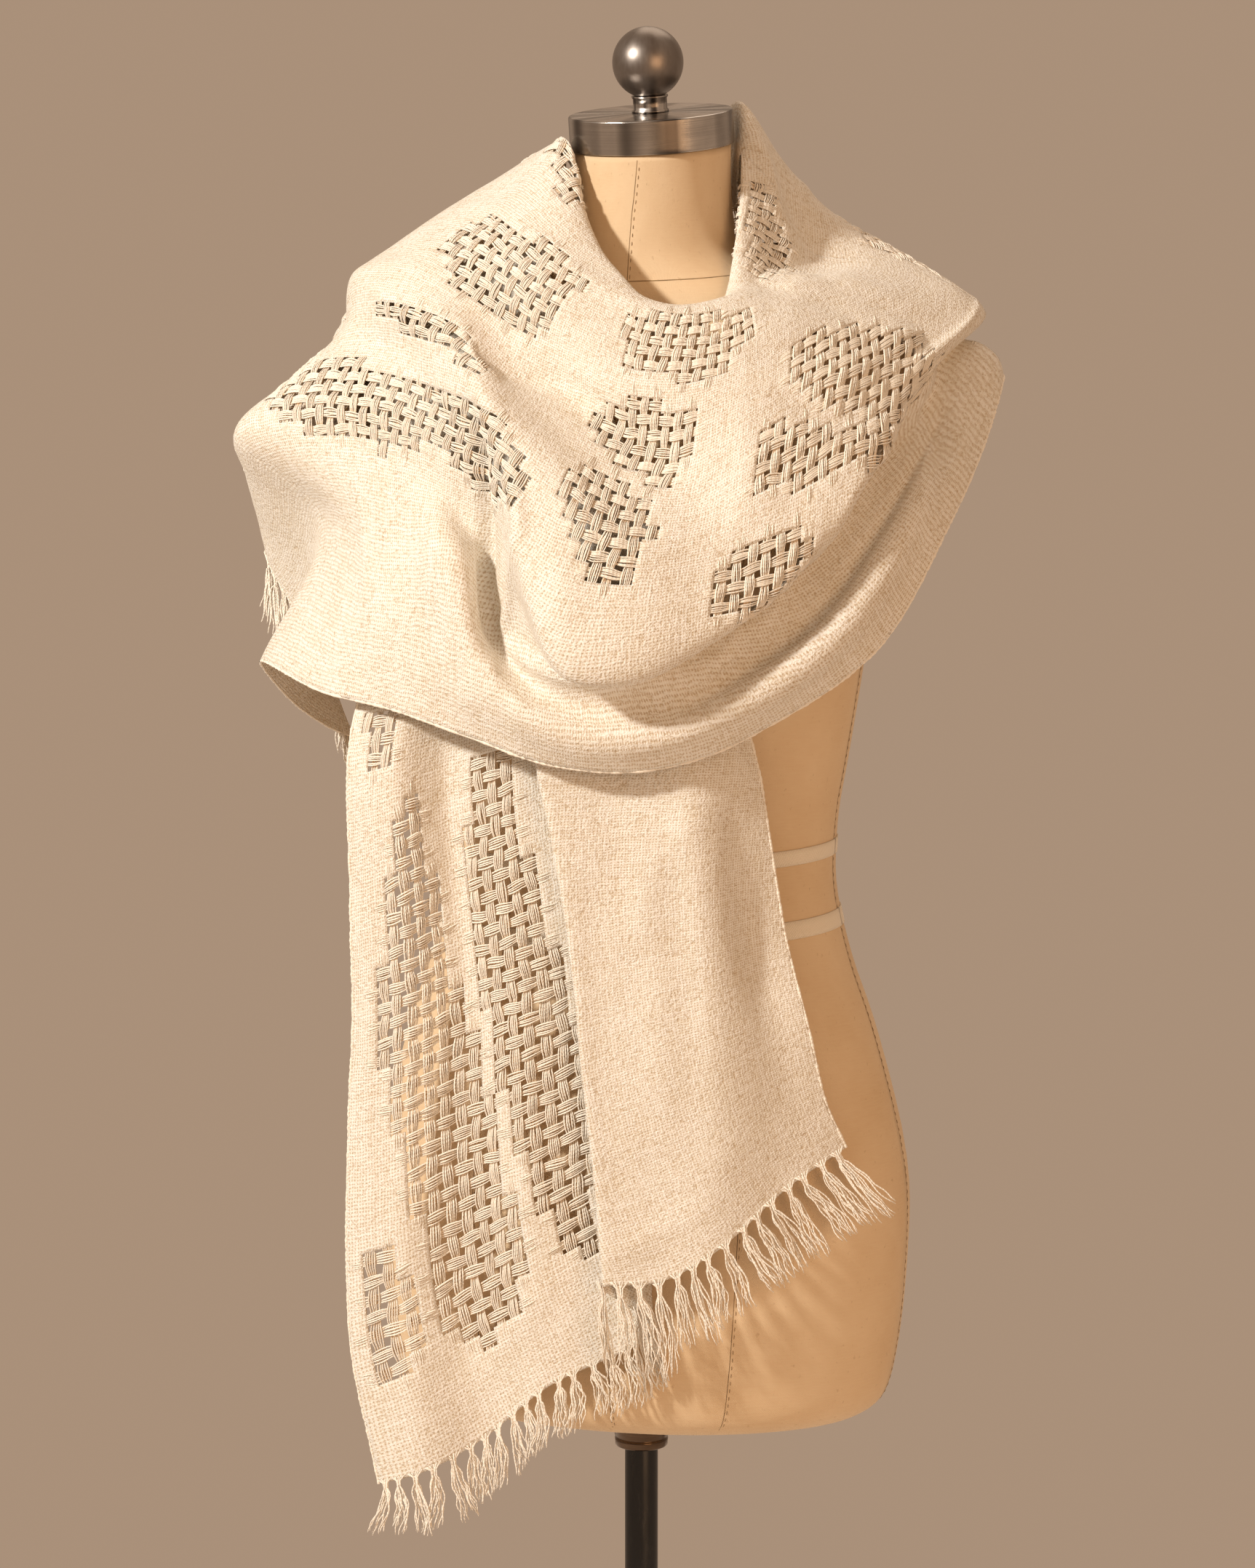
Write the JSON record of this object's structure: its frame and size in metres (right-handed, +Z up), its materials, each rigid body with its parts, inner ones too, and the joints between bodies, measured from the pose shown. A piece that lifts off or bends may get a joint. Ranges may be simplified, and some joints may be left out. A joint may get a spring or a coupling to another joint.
{
  "type": "lace shawl on a dress form stand",
  "caption": "Lace shawl with fringed ends, wound round the shoulders of a limbless dress form on a pole stand with a round base.",
  "frame": {"origin": "centre of the round base's underside, on the floor under the pole", "axes": "+Z up along the pole; -Y towards the front, where the first fringed end hangs; +X towards the right of someone facing the front"},
  "size_m": [0.4951, 0.3651, 1.503],
  "materials": {
    "linen": "matt hand-woven cotton and linen",
    "canvas": "matt canvas",
    "steel": "brushed",
    "chrome": "dark polished",
    "bronze": "dark satin",
    "black": "gloss",
    "plastic": "matt"
  },
  "bodies": {
    "stand": {"base_plate": "black", "pole": "black"},
    "form": {"dress_form": "canvas", "neck_cap": "steel", "knob_stem": "steel", "knob_ball": "chrome", "pole_socket": "bronze", "front_end": "linen", "back_wrap": "linen", "front_swath": "linen", "shoulder_end": "linen", "fringe_front_upper": "linen", "fringe_front_lower": "linen", "fringe_back": "linen"},
    "screw": {"clamp_screw": "plastic"}
  },
  "joints": [
    {"name": "form_turn", "type": "hinge", "parent": "stand", "child": "form", "pos_m": [0, 0, 0.59], "axis": [0, 0, 1], "continuous": true},
    {"name": "clamp_screw_turn", "type": "hinge", "parent": "form", "child": "screw", "pos_m": [0.02, 0.00425, 0.5895], "axis": [0.9781, 0.2079, 0], "continuous": true}
  ]
}
